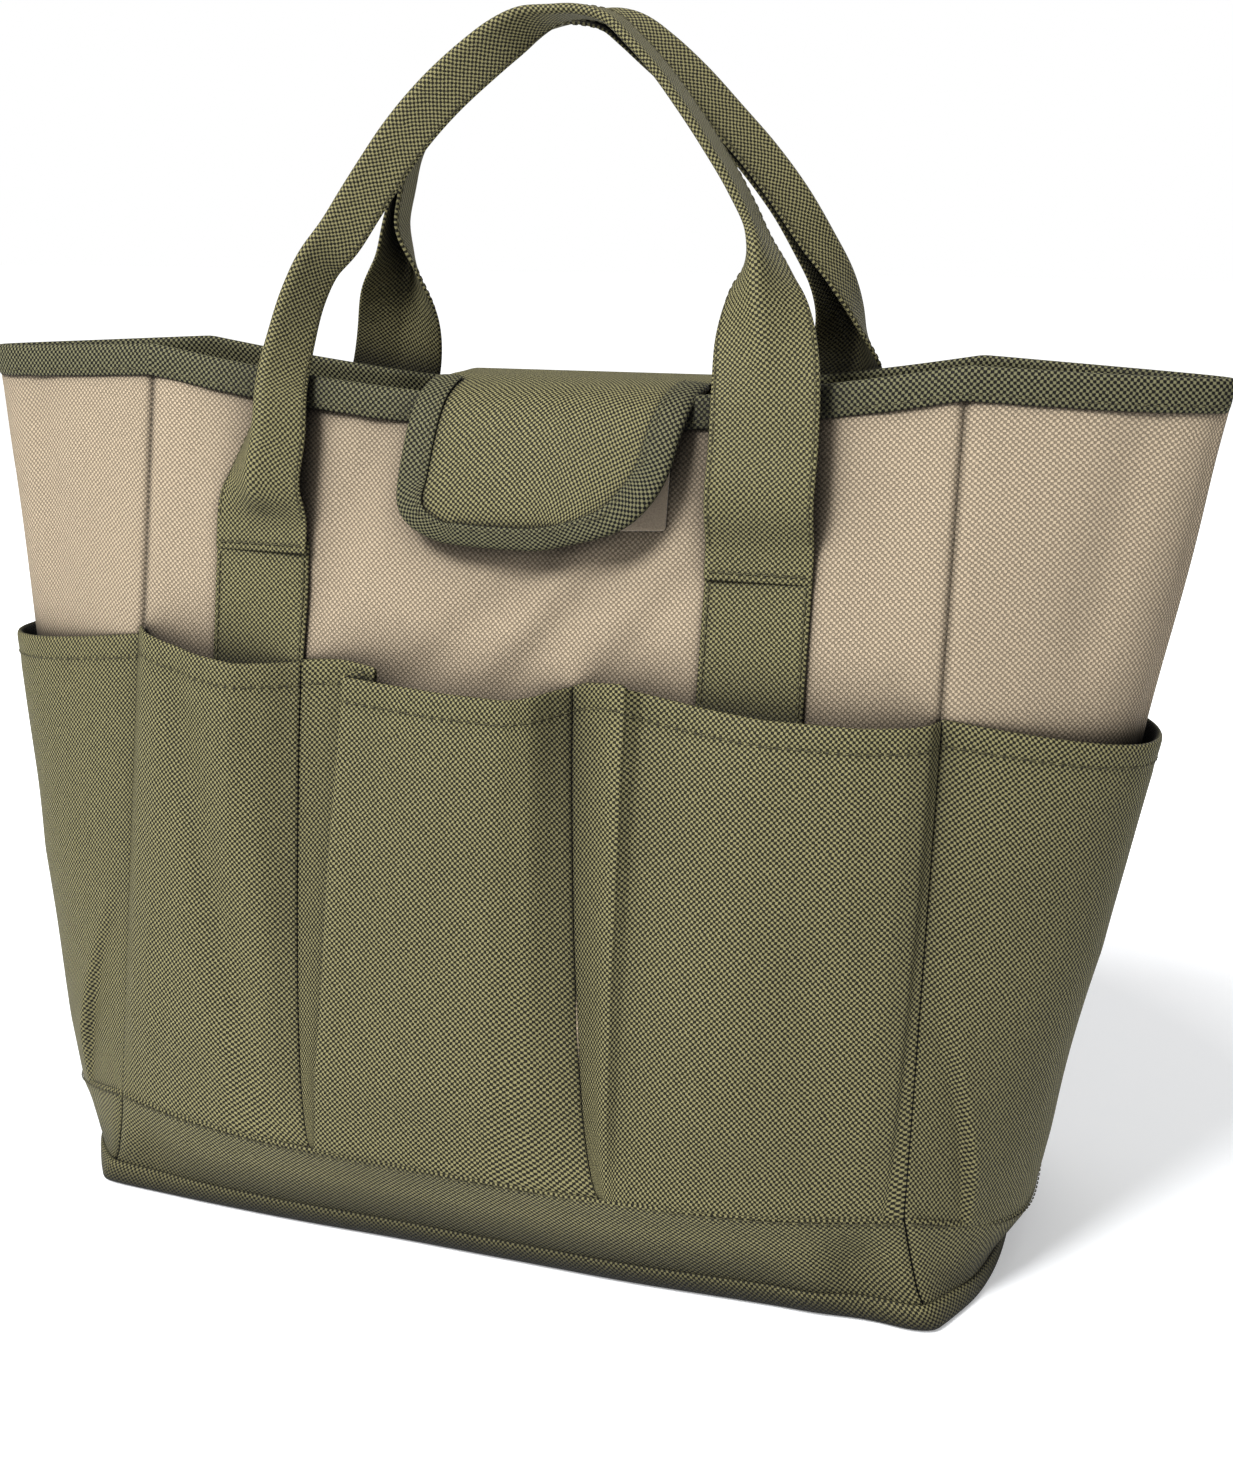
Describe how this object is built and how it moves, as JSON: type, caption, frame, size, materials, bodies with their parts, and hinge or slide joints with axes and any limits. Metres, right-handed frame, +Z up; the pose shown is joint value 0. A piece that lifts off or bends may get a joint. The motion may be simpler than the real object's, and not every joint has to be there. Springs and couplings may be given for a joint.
{
  "type": "garden tool bag",
  "caption": "Open fabric tote for garden tools, with outside pockets, a banded base, a bound rim, two carrying handles and a small closing flap.",
  "frame": {"origin": "centre of the base, on the floor", "axes": "+X along the front, towards the right-hand gusset; +Y from front to back; +Z up"},
  "size_m": [0.5141, 0.219, 0.4761],
  "materials": {
    "panel_fabric": "tan basket-weave oxford polyester",
    "pocket_fabric": "olive basket-weave oxford polyester",
    "strap_fabric": "olive oxford polyester, folded and edge-stitched",
    "binding_webbing": "dark olive ribbed webbing",
    "loop_tape": "taupe loop fastening tape",
    "hook_tape": "dark hook fastening tape",
    "board": "black polypropylene sheet"
  },
  "bodies": {
    "bag": {"front_panel": "panel_fabric", "back_panel": "panel_fabric", "side_panel_left": "panel_fabric", "side_panel_right": "panel_fabric", "base_panel": "pocket_fabric", "base_board": "board", "base_band_front": "pocket_fabric", "base_band_back": "pocket_fabric", "base_band_left": "pocket_fabric", "base_band_right": "pocket_fabric", "rim_binding": "binding_webbing", "pocket_front_left": "pocket_fabric", "pocket_front_center": "pocket_fabric", "pocket_front_right": "pocket_fabric", "pocket_back_left": "pocket_fabric", "pocket_back_center": "pocket_fabric", "pocket_back_right": "pocket_fabric", "pocket_side_left": "pocket_fabric", "pocket_side_right": "pocket_fabric", "strap_front_left": "strap_fabric", "strap_front_right": "strap_fabric", "strap_back_left": "strap_fabric", "strap_back_right": "strap_fabric", "flap_tab": "pocket_fabric", "loop_patch": "loop_tape"},
    "handle_front": {"handle_front": "strap_fabric"},
    "handle_back": {"handle_back": "strap_fabric"},
    "flap": {"flap": "pocket_fabric", "flap_binding": "binding_webbing", "hook_patch": "hook_tape"}
  },
  "joints": [
    {"name": "handle_front_swing", "type": "hinge", "parent": "bag", "child": "handle_front", "pos_m": [0, -0.0495, 0.2735], "axis": [1, 0, 0], "range_deg": [0, 115]},
    {"name": "handle_back_swing", "type": "hinge", "parent": "bag", "child": "handle_back", "pos_m": [0, 0.0495, 0.2735], "axis": [-1, 0, 0], "range_deg": [0, 115]},
    {"name": "flap_lift", "type": "hinge", "parent": "bag", "child": "flap", "pos_m": [0.012, 0.0312, 0.3345], "axis": [-1, 0, 0], "range_deg": [0, 90]}
  ]
}
